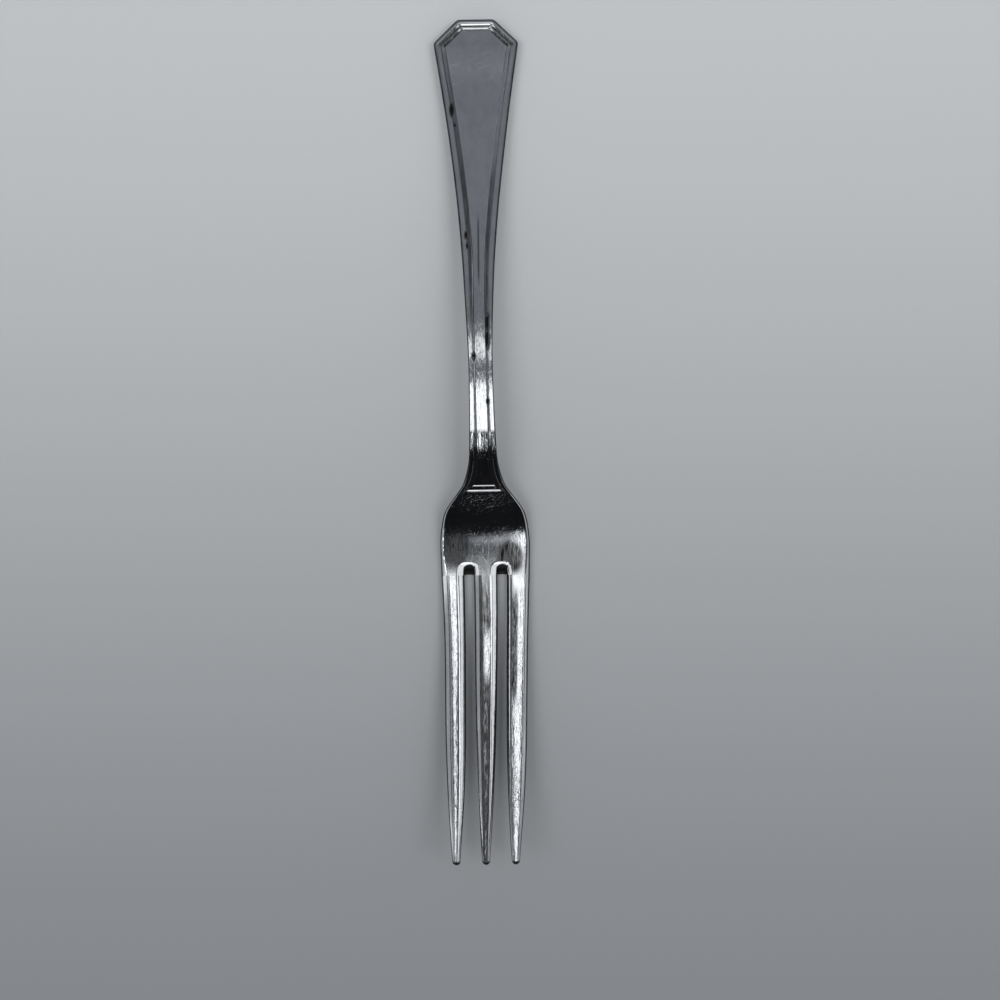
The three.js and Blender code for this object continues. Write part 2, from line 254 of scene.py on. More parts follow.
def finishMesh(name, bm, seams):  # the flat ends at the seams keep sharp edges
    bmesh.ops.recalc_face_normals(bm, faces=bm.faces)
    for f in bm.faces:
        f.smooth = True
        y = f.calc_center_median().y
        if abs(f.normal.y) > joint["square"] and any(abs(y - yAt(t)) < joint["seam"] for t in seams):
            for e in f.edges:
                e.smooth = False
    loose = sum(1 for e in bm.edges if not e.is_manifold)
    print("  open or doubled edges:", loose, " volume mm3:", round(bm.calc_volume() / mm ** 3, 1))
    mesh = bpy.data.meshes.new(name)
    bm.to_mesh(mesh)
    bm.free()
    print("made", name, "with", len(mesh.polygons), "faces")
    return newObject(name, mesh)


# Handle and neck: the end's cut corners, the double engraved line and the folded panel
border = {
    "endHalf": 3.25, "shoulderHalf": 7.6, "shoulderDepth": 4.2,
    "cornerBetween": (3.0, 9.0),  # stations round the shoulder
    "searches": 40,
    "cornerRound": 0.5,  # along each side of a corner, at the outer edge
    "lineCornerRound": 0.3,
    "turnSteps": 7, "sideSteps": 9, "firstRow": 9.5,
    "rimWidth": 0.78, "rimEase": 0.1, "rimSteps": (0.1, 0.2, 0.3, 0.45, 0.7),
    "panelInset": 2.1,
    "panelFull": 4.5,  # station of its full crown
    "panelSteps": 12, "panelFirst": (0, 0.03, 0.07),
    "leastPanel": 1.7,
    "rimTilt": [(0, 0.05), (36, 0.04), (56, 0), (86, 0)],
    "crown": [(0, 0.05), (20, 0.05), (36, 0.03), (50, 0.01), (67, 0.004), (80, 0.004), (85.3, 0)],
    "fold": [(34, 0), (40, 0.05), (50, 0.04), (62, 0.012), (78, 0.01), (82, 0)],
    "crease": (34.0, 38.0, 46.0, 50.0),  # stations of the dark fold
    "creaseHalf": 0.3, "creaseDirt": 0.7,
    "ledge": (0.9, 1.25, 1.95, 2.15),  # insets of the ledge between the two lines
    "ledgeDirtAndShade": {  # dirt on the ledge, with painted shade making the left side darker; on the right and on the left
        1: [(4, 0), (10, 0.05), (24, 0.25), (32, 0.58), (48, 0.62), (56, 0.45), (61, 0)],
        -1: [(4, 0), (7, 0.42), (20, 0.52), (36, 0.62), (50, 0.58), (57, 0.35), (61, 0)],
    },
    "outerSteps": (1, 0.85, 0.65, 0.5, 0.35, 0.2, 0.1, 0),  # shares of a line's walls
    "innerSteps": (0.15, 0.3, 0.6, 0.85, 1),
    "lineSpread": 1.2,  # reach of the dirt in a line, in widths of its walls
    "lineDirt": 0.75,  # on a line's inner wall
    "outerDirt": 0.1,  # and on its outer wall
    "innerGain": 1.5,  # how quickly the dirt fills a wall
    "cornerGain": 2, "rootGain": 5, "cornerDirt": 0.75,
    "pastEnd": (0.1, 0.5),  # how far past the straight end the cut corners begin
    "cornerUntil": (4.4, 5.4),  # stations at which they end
    "nearRoot": (73, 77),  # stations from which the lines are dark
    "crossLine": 84.62, "crossSpacing": 0.92, "crossFrom": 83.0, "crossEase": (-0.05, 0.2),
    "barDeep": 0.3, "rowStep": 0.45, "crossStep": 0.05,
}
# Each line: inset of its bottom, outer and inner wall, depth, and how these change along the fork
lines = [
    {"inset": 1.2, "walls": (0.42, 0.2), "depth": 0.34, "bar": 0.3,
     "wide": [(0, 1), (4.5, 1), (9, 0.6), (34, 0.5), (56, 0.25), (78, 0.25), (86, 0.4)],
     "deep": [(0, 1), (4.2, 0.8), (5.6, 0.18), (34, 0.15), (50, 0.1), (56, 0), (76, 0),
              (82, 0.05), (86, 0.05)]},
    {"inset": 1.93, "walls": (0.4, 0.14), "depth": 0.3, "bar": 0.42,
     "wide": [(0, 1), (4.5, 1), (9, 0.6), (34, 0.6), (56, 0.5), (74, 0.4), (86, 0.4)],
     "deep": [(0, 1), (2.8, 1), (4.2, 0.7), (5.6, 0.18), (34, 0.25), (56, 0.45), (74, 0.35),
              (80, 0.06), (86, 0.05)]},
]
for line in lines:
    line["wideAt"] = throughPoints(line["wide"], blur=0.4)
    line["deepAt"] = throughPoints(line["deep"], blur=0.4)
rimTiltAt = throughPoints(border["rimTilt"], blur=1)
crownAt = throughPoints(border["crown"], blur=2)
foldAt = throughPoints(border["fold"], blur=1)
ledgeDirtAndShadeAt = {side: throughPoints(points, blur=1) for side, points in border["ledgeDirtAndShade"].items()}
gripEdgeAt = edgeCurve(edge["width"][-1][1])
cornerSlope = (border["shoulderHalf"] - border["endHalf"]) / border["shoulderDepth"]
cornerStretch = math.hypot(1, cornerSlope)
crossRate = (lines[1]["inset"] - lines[0]["inset"]) / border["crossSpacing"]


def lineDepth(inset, t, onBar):  # depth of the two lines, and how far into each wall a point is
    depth, outer, inner = 0.0, 0.0, 0.0
    for line in lines:
        outerWall, innerWall = line["walls"]
        before = np.where(onBar > 0.5, innerWall, outerWall)
        after = np.where(onBar > 0.5, outerWall, innerWall)
        wide = line["wideAt"](t) * (1 - onBar) + line["bar"] * onBar
        deep = line["deepAt"](t) * (1 - onBar) + border["barDeep"] * onBar
        isOuter = inset < line["inset"]
        off = np.abs(inset - line["inset"]) / (np.where(isOuter, before, after) * wide)
        depth = depth - line["depth"] * deep * np.clip(1 - off, 0, 1)
        near = np.clip(border["lineSpread"] - off, 0, 1)
        outer = np.maximum(outer, np.where(isOuter, near, 0))
        inner = np.maximum(inner, np.where(isOuter, 0, near))
    return depth, outer, inner


def borderShare(t):
    return np.minimum(1, (halfAt(t) - border["leastPanel"] / 2) / border["panelInset"])


def contour(inset, stations):
    # the outline drawn in by inset: round the two cut corners, then down the side
    endX = border["endHalf"] + inset * (cornerSlope - cornerStretch)
    low, high = border["cornerBetween"]
    for _ in range(border["searches"]):
        t = (low + high) / 2
        gap = border["endHalf"] + t * cornerSlope - inset * cornerStretch - halfAt(t) + inset
        low, high = (low, t) if gap > 0 else (t, high)
    along = np.array([cornerSlope, 1]) / cornerStretch
    first, second = np.array([endX, inset]), np.array([float(halfAt(low)) - inset, low])
    fade = min(1, inset / border["panelInset"])
    reach = border["cornerRound"] * (1 - fade) + border["lineCornerRound"] * fade
    turn = np.linspace(0, 1, border["turnSteps"])[:, None]

    def rounded(a, p, b):
        return (1 - turn) ** 2 * a + 2 * turn * (1 - turn) * p + turn ** 2 * b

    sideStart = second[1] + reach
    sidePoint = np.array([float(halfAt(sideStart)) - inset, sideStart])
    firstTurn = rounded(first - [reach, 0], first, first + along * reach)
    secondTurn = rounded(second - along * reach, second, sidePoint)
    straight = np.linspace(firstTurn[-1], secondTurn[0], border["turnSteps"])[1:-1]
    sides = np.concatenate([np.linspace(sideStart, stations[0], border["sideSteps"])[1:-1], stations])
    down = np.stack([halfAt(sides) - inset * borderShare(sides), sides], axis=1)
    path = np.concatenate([firstTurn, straight, secondTurn, down])
    return path[:, 0], path[:, 1]


def faceHeight(inset, t):  # height of the face at an inset, and the dirt and painted shade there on each side
    inset, t = np.broadcast_arrays(np.asarray(inset, float), np.asarray(t, float))
    crossInset = lines[0]["inset"] + (border["crossLine"] - t) * crossRate
    least = np.minimum(inset, np.maximum(border["rimWidth"], crossInset))
    onBar = smoothRise(inset - crossInset, *border["crossEase"])
    depth, outer, inner = lineDepth(least, t, onBar)
    onEdge = edgeProfile(np.clip(inset / gripEdgeAt(t), 0, 1))
    onRim = smoothRise(least, gripEdgeAt(t), border["rimWidth"] - border["rimEase"]) - 1
    z = undersideAt(t) + thicknessAt(t) + depth - edgeDropAt(t) * onEdge + rimTiltAt(t) * onRim
    pastEnd = smoothRise(t - inset, *border["pastEnd"])
    onCorner = pastEnd * (1 - smoothRise(t, *border["cornerUntil"]))
    nearRoot = smoothRise(t, *border["nearRoot"])
    dark = np.maximum(border["cornerDirt"] * onCorner, nearRoot)
    outerDirt = border["outerDirt"] + (1 - border["outerDirt"]) * dark
    outerDirt = np.where(onBar > 0.5, 1.0, outerDirt) * pastEnd
    innerDirt = border["lineDirt"] + (1 - border["lineDirt"]) * np.maximum(dark, 1 - pastEnd)
    innerDirt = np.where(onBar > 0.5, 0.0, innerDirt)
    rootGain = border["rootGain"] * nearRoot
    outer = np.minimum(1, outer * (1 + border["cornerGain"] * onCorner + rootGain))
    inner = np.minimum(1, inner * (border["innerGain"] + rootGain))
    dirt = np.maximum(outer * outerDirt, inner * innerDirt)
    # painted shade: a dark band just inside the outline, for the edge's dark outline
    dirt = np.maximum(dirt, 1 - smoothRise(inset, *edge["outlineShadeReach"]))
    # dirt on the ledge between the lines, with painted shade that darkens the left side more
    ledge = band(inset, *border["ledge"])
    return z, {side: np.maximum(dirt, ledge * ledgeDirtAndShadeAt[side](t)) for side in (1, -1)}


def backHeight(share, t):  # the back: flat in the middle, lifting towards the sides
    lift = np.clip((share - fork["backFlat"]) / (1 - fork["backFlat"]), 0, 1) ** 2
    return undersideAt(t) + backRiseAt(t) * lift


def lineSteps(t):  # insets of the columns: the edge, the rim, then both walls of each line
    start = gripEdgeAt(t)
    steps = [step * start for step in edgeSteps]
    steps += [start + (border["rimWidth"] - start) * share for share in border["rimSteps"]]
    for line in lines:
        outerWall, innerWall = (wall * line["wideAt"](t) for wall in line["walls"])
        steps += [line["inset"] - outerWall * share for share in border["outerSteps"]]
        steps += [line["inset"] + innerWall * share for share in border["innerSteps"]]
    return steps


def gripPatches(stations, withEnd):
    # patches of the right half along the stations, with the handle's end if asked
    bow = np.sin(np.linspace(0, math.pi / 2, border["panelSteps"]))
    shares = np.concatenate([border["panelFirst"], bow[1:]])

    def sideOf(inset):
        if withEnd:
            return contour(inset, stations)
        return halfAt(stations) - inset * borderShare(stations), stations

    levels, dirtsAndShade = [], {1: [], -1: []}
    for inset in lineSteps(0.0 if withEnd else stations):
        x, t = sideOf(inset)
        z, darkening = faceHeight(inset, t)
        levels.append(spread((x, t, z)))
        for side in dirtsAndShade:
            dirtsAndShade[side].append(darkening[side])
    levels, dirt = np.array(levels), np.array(dirtsAndShade[1])
    patches = [(levels, np.array(dirtsAndShade[side]), side) for side in dirtsAndShade]
    outerX, innerX = levels[0][:, 0] / mm, levels[-1][:, 0] / mm
    innerT, innerZ = stationAt(levels[-1][:, 1]), levels[-1][:, 2] / mm
    inPanel = smoothRise(innerT, border["panelInset"], border["panelFull"]) if withEnd else 1.0
    crease = border["creaseDirt"] * band(innerT, *border["crease"])
    panel, darkening = [], []
    for share in shares:
        arch = crownAt(innerT) * (1 - share ** 2) + foldAt(innerT) * (1 - share)
        panel.append(spread((share * innerX, innerT, innerZ + arch * inPanel)))
        fromMiddle = np.clip(1 - share * innerX / border["creaseHalf"], 0, 1)
        darkening.append(np.maximum(crease * fromMiddle, dirt[-1] * (share == shares[-1])))
    panel = np.array(panel)
    backLevels = []
    for step, lift in zip(backSteps, backProfile):
        x, t = sideOf(step * edge["backRound"])
        share = np.clip(x / np.maximum(outerX, 1e-6), 0, 1) if step > 0 else 1.0
        backLevels.append(spread((x, t, backHeight(share, t) + lift * edge["backRound"])))
    backLevels = np.array(backLevels)
    backX, backT = backLevels[-1][:, 0] / mm, stationAt(backLevels[-1][:, 1])
    back = np.array([spread((s * backX, backT, backHeight(s * backX / outerX, backT))) for s in shares])
    patches += [(panel, np.array(darkening)), (backLevels, 0.0), (back, 0.0)]
    patches.append((wallRows(levels[0], backLevels[0]), paintedWallShade))
    if withEnd:
        patches += endPatches(levels, dirt, backLevels, panel, back)
    return patches


def endPatches(levels, dirt, backLevels, panel, back):
    # the straight end: its bands are drawn across to the middle
    shares = panel[:, 0, 0] / panel[-1, 0, 0]

    def across(column):
        full = np.repeat(column[:, None, :], len(shares), axis=1)
        full[:, :, 0] *= shares[None, :]
        return full

    top, low = across(levels[:, 0]), across(backLevels[:, 0])
    top[-1], low[-1] = panel[:, 0], back[:, 0]
    wall = across(wallRows(levels[0][0], backLevels[0][0]))
    return [(top, np.repeat(dirt[:, 0][:, None], len(shares), axis=1)), (low, 0.0), (wall, paintedWallShade)]


def rowsTo(first, last, step):  # even rows, with the last exactly at its station
    return [*np.arange(first, last - step / 2, step), last]


handleStations = np.array(rowsTo(border["firstRow"], fork["neckStart"], border["rowStep"]))
plainRows = np.arange(fork["neckStart"], border["crossFrom"], border["rowStep"])
neckStations = np.array([*plainRows, *rowsTo(border["crossFrom"], fork["rootStart"], border["crossStep"])])
handle = makePiece("handle_visual", gripPatches(handleStations, True), [fork["neckStart"]])
neck = makePiece("neck_visual", gripPatches(neckStations, False), [fork["neckStart"], fork["rootStart"]])

# Root: a dished plate pierced by the round ends of the two slots
root = {
    "slotMiddle": 2.95, "slotRadius": 0.88,
    "dish": [(85.3, 0), (88, 0.08), (91.5, 0.22), (95, 0.27), (110, 0.14), (125.5, 0)],
    "dishReach": 7.4,
    "apexNarrow": 0.5,  # how much the bevel narrows round a slot's end
    "apexShallow": 0.35,
    "apexReach": 0.95,  # how far the upper rim of a slot's end lies beyond its round
    "apexEase": 0.45,
    "apexRamp": 0.78,  # how far its foot lies short of it
    "slotShade": (0.09, 0.24),  # shares of a slot's bevel over which the painted shade round the slot's end fades
    "sideShade": (0.14, 0.36),  # mm in from the outline over which the painted shade along it fades
    "arcSteps": 32, "middleColumns": 3, "sideColumns": 6, "rows": 56,
    "darkening": 0.34,  # thin stain on the plate beyond the heel
    "soilAt": (90.6, 92.5, 96.5, 99.7),
    "soilMiddle": (0.8, 2.4),  # places across between which it ends before the tines
    "soilRight": (4.2, 5.4),  # places across between which it ends on the right
    # dark stains: place across, station, half width, half length and depth
    "blotches": [(4.5, 96.6, 2.9, 3.8, 0.975), (-5.6, 94.4, 3.4, 5.2, 0.62), (-0.2, 100.6, 1.8, 3.4, 0.26)],
    "blotchFade": (0.45, 1.1),  # shares of their half sizes
}
dishAt = throughPoints(root["dish"], blur=1.2)
dishDepth = max(depth for _, depth in root["dish"])


def plateHeights(x, t, drop):  # height of the face, less a share of the metal for the edge
    reach = halfAt(t) - float(halfAt(fork["tineStart"])) + root["dishReach"]
    low = dishAt(t) * np.clip(1 - (x / reach) ** 2, 0, 1)
    return undersideAt(t) + (1 - drop) * (thicknessAt(t) - low)


def plateSoil(points, side):
    x, t = side * points[..., 0] / mm, stationAt(points[..., 1])
    opens, opened, closes, closed = root["soilAt"]
    ended = smoothRise(t, closes, closed) * smoothRise(np.abs(x), *root["soilMiddle"])
    darkening = root["darkening"] * smoothRise(t, opens, opened) * (1 - ended)
    darkening = darkening * (1 - smoothRise(x, *root["soilRight"]))
    for across, station, wide, long, deep in root["blotches"]:
        far = np.hypot((x - across) / wide, (t - station) / long)
        darkening = 1 - (1 - darkening) * (1 - deep * (1 - smoothRise(far, *root["blotchFade"])))
    return darkening


def rootSheet(steps, slotWidths, drawn, edgeWidth, slotHeight, sideHeight):
    # half of one face: round the slot, along the outer edge, and the plate between
    tineStart, rootStart = fork["tineStart"], fork["rootStart"]
    angle = np.linspace(0, math.pi, root["arcSteps"] + 1)
    turned = (1 - np.cos(angle)) / 2
    apex = np.sin(angle) ** 2
    width = (slotWidths[0] * (1 - turned) + slotWidths[1] * turned) * (1 - root["apexNarrow"] * apex)
    share = 1 - root["apexShallow"] * apex
    rings = []
    for step in steps:
        radius = root["slotRadius"] + step * width
        x = root["slotMiddle"] - radius * np.cos(angle)
        t = tineStart - radius * np.sin(angle) - drawn(np.sin(angle))
        rings.append(spread((x, t, slotHeight(x, t, step, share))))
    ringX, ringT = rings[-1][:, 0] / mm, stationAt(rings[-1][:, 1])
    outer = float(halfAt(tineStart) - edgeWidth(tineStart))
    footX = np.concatenate([np.linspace(0, ringX[0], root["middleColumns"] + 1)[:-1], ringX,
                            np.linspace(ringX[-1], outer, root["sideColumns"] + 1)[1:]])
    footT = np.concatenate([np.full(root["middleColumns"], tineStart), ringT,
                            np.full(root["sideColumns"], tineStart)])
    rise = np.linspace(0, 1, root["rows"] + 1)[:, None]
    headShare = np.linspace(0, 1, len(footX))
    t = footT * (1 - rise) + rootStart * rise
    footShare = footX / (halfAt(footT) - edgeWidth(footT))
    share = footShare * (1 - rise) + headShare * rise
    x = share * (halfAt(t) - edgeWidth(t))
    plate = spread((x, t, slotHeight(x, t, 1.0, 1.0)))
    side = t[:, -1]
    bands = []
    for step in steps:
        x = halfAt(side) - step * edgeWidth(side)
        bands.append(spread((x, side, sideHeight(x, side, step))))
    return np.array(rings), plate, np.array(bands)


def rootPatches(side):
    # the half of the root on one side, with the bevels of the tines that grow from it
    middleHalf, sideHalf = tine["middle"][0][1], tine["side"][0][1]
    inner, outer = (1, 0) if side > 0 else (0, 1)
    slotWidths = (edge["bevels"][0][inner] * middleHalf, edge["bevels"][side][outer] * sideHalf)
    lowWidths = (edge["backShare"] * middleHalf, edge["backShare"] * sideHalf)
    edgeWidth = edgeCurve(edge["bevels"][side][inner] * sideHalf)  # runs on into the tine's outer bevel

    def blend(t):
        return smoothRise(t, fork["rootStart"], fork["tineStart"])

    def backEdge(t):
        return edge["backRound"] + (edge["backShare"] * sideHalf - edge["backRound"]) * blend(t)

    def slotHeight(x, t, step, share):
        return plateHeights(x, t, share * edge["dropShare"] * edgeProfile(step))

    def sideHeight(x, t, step):
        share = edgeDropAt(t) / thicknessAt(t) * (1 - blend(t)) + edge["dropShare"] * blend(t)
        return plateHeights(x, t, share * edgeProfile(step))

    def lowHeight(x, t, step, share=1.0):
        rounding = edge["backRound"] * (1 - np.sqrt(1 - (1 - step) ** 2))
        return backHeight(np.clip(x / halfAt(t), 0, 1), t) + rounding

    def drawnBack(turned):
        return root["apexReach"] * smoothRise(turned, 0, root["apexEase"])

    def drawnOut(turned):
        return -root["apexRamp"] * turned

    rings, plate, bands = rootSheet(edgeSteps, slotWidths, drawnBack, edgeWidth, slotHeight, sideHeight)
    lowRings, lowPlate, lowBands = rootSheet(backSteps, lowWidths, drawnOut, backEdge, lowHeight, lowHeight)
    fromSlot = edgeSteps[:, None]
    fromSide = fromSlot * edgeWidth(stationAt(bands[0][:, 1]))
    # painted shade: dark round each slot's end and in from the outline, the side walls darkened, and the
    # slot's walls and back rim painted fully dark
    return [
        (rings, 1 - smoothRise(fromSlot, *root["slotShade"]), side),
        (bands, 1 - smoothRise(fromSide, *root["sideShade"]), side),
        (wallRows(rings[0], lowRings[0]), 1.0, side),
        (wallRows(bands[0], lowBands[0]), paintedWallShade, side),
        (plate, plateSoil(plate, side), side),
        (lowRings, 1.0, side),
        (lowPlate, 0.0, side),
        (lowBands, 0.0, side),
    ]


rootPiece = makePiece("root_visual", rootPatches(1) + rootPatches(-1), [fork["rootStart"], fork["tineStart"]])


def tineSection(leftShare, rightShare):
    # points round a tine, x from -1 to 1 and z from 0 to 1
    backZ = edge["backRound"] / float(thicknessAt(fork["tineStart"]))
    topZ = 1 - edge["dropShare"]
    count = edge["flatSteps"]

    def half(share):
        side = [(1 - s * edge["backShare"], z * backZ) for s, z in zip(backSteps[::-1], backProfile[::-1])]
        side += [(1, backZ + (topZ - backZ) * s) for s in (1 / 3, 2 / 3)]
        return side + [(1 - s * share, 1 - edge["dropShare"] * float(edgeProfile(s))) for s in edgeSteps]

    right = half(rightShare)
    left = [(-x, z) for x, z in reversed(half(leftShare))]
    top = np.linspace(right[-1][0], left[0][0], count + 1)[1:-1]
    low = np.linspace(left[-1][0], right[0][0], count + 1)[1:-1]
    return right + [(x, 1) for x in top] + left + [(x, 0) for x in low]


# Steps of a node tree: a plain value is set on a socket, anything else is linked to it
def addNode(tree, kind, inputs, **settings):
    node = tree.nodes.new(kind)
    for name, setting in settings.items():
        setattr(node, name, setting)
    for socket, value in inputs.items():
        if isinstance(value, (int, float, str, tuple)):
            node.inputs[socket].default_value = value
        else:
            tree.links.new(value, node.inputs[socket])
    return node.outputs


def addMath(tree, operation, *values):
    return addNode(tree, "ShaderNodeMath", dict(enumerate(values)), operation=operation)[0]


def addProduct(tree, value, *others):
    for other in others:
        value = addMath(tree, "MULTIPLY", value, other)
    return value


def addRamp(tree, value, low, high, start=0.0, end=1.0):  # an eased step from start to end
    limits = {"Value": value, "From Min": low, "From Max": high, "To Min": start, "To Max": end}
    return addNode(tree, "ShaderNodeMapRange", limits, interpolation_type="SMOOTHSTEP")["Result"]


def addBand(tree, value, opens, opened, closes, closed):
    return addProduct(tree, addRamp(tree, value, opens, opened), addRamp(tree, value, closed, closes))


def addMix(tree, kind, factor, first, second):
    parts = {"Factor": factor, "A": first, "B": second}
    return addNode(tree, "ShaderNodeMix", parts, data_type=kind)["Result"]


def addCurve(tree, source, values):  # a curve node through values from 0 to 1, at even steps
    node = tree.nodes.new("ShaderNodeFloatCurve")
    curve = node.mapping.curves[0]
    last = len(values) - 1
    for i, value in enumerate(values):
        if i in (0, last):
            curve.points[0 if i == 0 else -1].location = (i / last, value)
        else:
            curve.points.new(i / last, value)
    node.mapping.update()
    tree.links.new(source, node.inputs["Value"])
    return node.outputs[0]


mathKinds = ("SUBTRACT", "DIVIDE", "MAXIMUM", "MINIMUM", "MULTIPLY_ADD", "ABSOLUTE")


def mathSteps(tree):
    simple = [partial(addMath, tree, kind) for kind in mathKinds]
    return [partial(step, tree) for step in (addProduct, addRamp, addBand)] + simple


def tineTree(name, halves):
    # Geometry Nodes: the section is drawn along the tine, widened, lifted and rounded off by curves
    tree = bpy.data.node_groups.new(name, "GeometryNodeTree")
    face = tree.interface
    for way in ("OUTPUT", "INPUT"):
        face.new_socket("Geometry", in_out=way, socket_type="NodeSocketGeometry")
    for label in ("Side", "Facet Middle", "Facet Half", *tine["marks"]):
        face.new_socket(label, in_out="INPUT", socket_type="NodeSocketFloat")
    face.new_socket("Material", in_out="INPUT", socket_type="NodeSocketMaterial")
    times, ramp, _, minus, over, most, least, timesPlus, size = mathSteps(tree)
    source = addNode(tree, "NodeGroupInput", {})
    section = addNode(tree, "GeometryNodeMeshToCurve", {0: source["Geometry"]})[0]
    line = addNode(tree, "GeometryNodeCurvePrimitiveLine", {"Start": (0, 0, 0), "End": (0, -1, 0)})[0]
    rows = addNode(tree, "GeometryNodeResampleCurve", {"Curve": line, "Count": tine["rows"]})[0]
    parts = {"Curve": rows, "Profile Curve": section, "Fill Caps": True}
    swept = addNode(tree, "GeometryNodeCurveToMesh", parts)[0]
    place = addNode(tree, "GeometryNodeInputPosition", {})[0]
    across, down, up = addNode(tree, "ShaderNodeSeparateXYZ", {0: place})
    ahead = most(minus(1.0, times(down, -1.0)), 0.0)
    along = minus(1.0, addMath(tree, "POWER", ahead, tine["rowBias"]))
    steps = np.linspace(0, tine["length"], tine["samples"])
    station = fork["tineStart"] + steps

    def curveOf(values):
        return addCurve(tree, along, [float(v) for v in values])

    width = curveOf(throughPoints(halves, blur=0.8)(steps) / halves[0][1])
    apart = curveOf(throughPoints(tine["spread"], blur=0.8)(steps) / tine["spread"][0][1])
    height = curveOf(undersideAt(station) / tine["height"])
    thick = curveOf(thicknessAt(station) / tine["thickness"])
    dish = curveOf(np.clip(dishAt(np.minimum(station, fork["taperAt"])) / dishDepth, 0, 1))
    lean = minus(curveOf(bendAt(station) + tine["curveBase"]), tine["curveBase"])
    length, tip = tine["length"] * mm, tine["tipRound"] * mm
    travel = times(along, length)
    into = least(most(over(minus(travel, length - tip), tip), 0.0), 1.0)
    rounded = addMath(tree, "SQRT", minus(1.0, times(into, into)))
    centre = timesPlus(lean, mm, times(apart, tine["spread"][0][1] * mm, source["Side"]))
    x = timesPlus(across, times(width, halves[0][1] * mm, rounded), centre)
    fromMiddle = over(x, root["dishReach"] * mm)
    bowl = most(minus(1.0, times(fromMiddle, fromMiddle)), 0.0)
    metal = minus(times(thick, tine["thickness"] * mm), times(dish, dishDepth * mm, bowl))
    offCentre = size(over(minus(across, source["Facet Middle"]), source["Facet Half"]))
    onFace = addMath(tree, "GREATER_THAN", up, tine["faceFrom"])
    fall = least(times(offCentre, offCentre), 1.0)
    fall = times(fall, tine["crown"], ramp(along, *tine["crownFrom"]), onFace)
    middle = timesPlus(minus(minus(up, fall), 0.5), rounded, 0.5)
    z = timesPlus(metal, middle, times(height, tine["height"] * mm))
    y = minus(yAt(fork["tineStart"]), travel)

    def near(value, mark, reach, full):
        off = size(minus(value, source[mark]))
        return ramp(over(off, source[reach]), 1.0, full)

    def store(geometry, label, value):
        parts = {"Geometry": geometry, "Name": label, "Value": value}
        return addNode(tree, "GeometryNodeStoreNamedAttribute", parts, data_type="FLOAT", domain="POINT")[0]

    # painted shade: the tine's side walls are darkened into a dark outline
    wall = times(ramp(size(across), *tine["wallFrom"]), ramp(up, *tine["wallFade"]))
    # painted reflection: a dark line along each ridge between face and bevel
    nearRidge = size(minus(offCentre, 1.0))
    ridge = times(ramp(nearRidge, tine["ridgeReach"], 0.0, end=tine["ridgeDarkLine"]), onFace)
    ridge = times(ridge, ramp(minus(source["Ridge End"], along), 0.0, tine["ridgeFade"]))
    # painted reflection: a dark patch on the face, cleared in a lighter gap
    darkPatch = times(near(along, "Dark Patch Along", "Dark Patch Length", tine["darkPatchFull"]), source["Dark Patch Depth"])
    darkPatch = times(darkPatch, near(across, "Dark Patch Across", "Dark Patch Width", tine["darkPatchFull"]))
    patchGap = near(along, "Gap Along", "Gap Length", tine["gapFull"])
    patchGap = times(patchGap, ramp(across, *tine["gapAcross"]))
    darkPatch = times(darkPatch, minus(1.0, patchGap), onFace, ramp(offCentre, *tine["darkPatchEdge"]))
    # painted shade: the very point is painted dark
    point = ramp(along, *tine["tipAt"])
    # painted shade and painted reflection, stored with the grime
    darkening = most(most(wall, ridge), most(darkPatch, point))
    wear = times(ramp(offCentre, *tine["wearEdge"], end=1 - tine["bevelWear"]), onFace)
    wear = timesPlus(wear, ramp(along, *tine["wornFrom"]), tine["bevelWear"])
    swept = store(store(swept, "grimeAndShade", darkening), "wear", wear)
    place = addNode(tree, "ShaderNodeCombineXYZ", {0: x, 1: y, 2: z})[0]
    moved = addNode(tree, "GeometryNodeSetPosition", {"Geometry": swept, "Position": place})[0]
    parts = {"Geometry": moved, "Material": source["Material"]}
    addNode(tree, "NodeGroupOutput", {0: addNode(tree, "GeometryNodeSetMaterial", parts)[0]})
    return tree


def makeTine(name, tree, side, silver):
    leftShare, rightShare = edge["bevels"][side]
    ring = tineSection(leftShare, rightShare)
    mesh = bpy.data.meshes.new(name + "_section")
    count = len(ring)
    mesh.from_pydata([(x, -z, 0) for x, z in ring], [(i, (i + 1) % count) for i in range(count)], [])
    blank = newObject(name + "_blank", mesh)
    grown = blank.modifiers.new("tine", "NODES")
    grown.node_group = tree
    own = dict(zip(tine["marks"], tine["markSizes"][side]))
    own["Side"] = float(side)
    own["Facet Middle"] = (leftShare - rightShare) / 2
    own["Facet Half"] = 1 - (leftShare + rightShare) / 2
    own["Material"] = silver
    for socket in tree.interface.items_tree:
        if socket.name in own:
            grown[socket.identifier] = own[socket.name]
    graph = bpy.context.evaluated_depsgraph_get()
    drawn = bpy.data.meshes.new_from_object(blank.evaluated_get(graph), depsgraph=graph)
    blank.modifiers.remove(grown)
    bpy.data.objects.remove(blank)
    bm = bmesh.new()
    bm.from_mesh(drawn)
    bpy.data.meshes.remove(drawn)
    bmesh.ops.remove_doubles(bm, verts=bm.verts, dist=joint["weld"])
    return finishMesh(name, bm, [fork["tineStart"]])


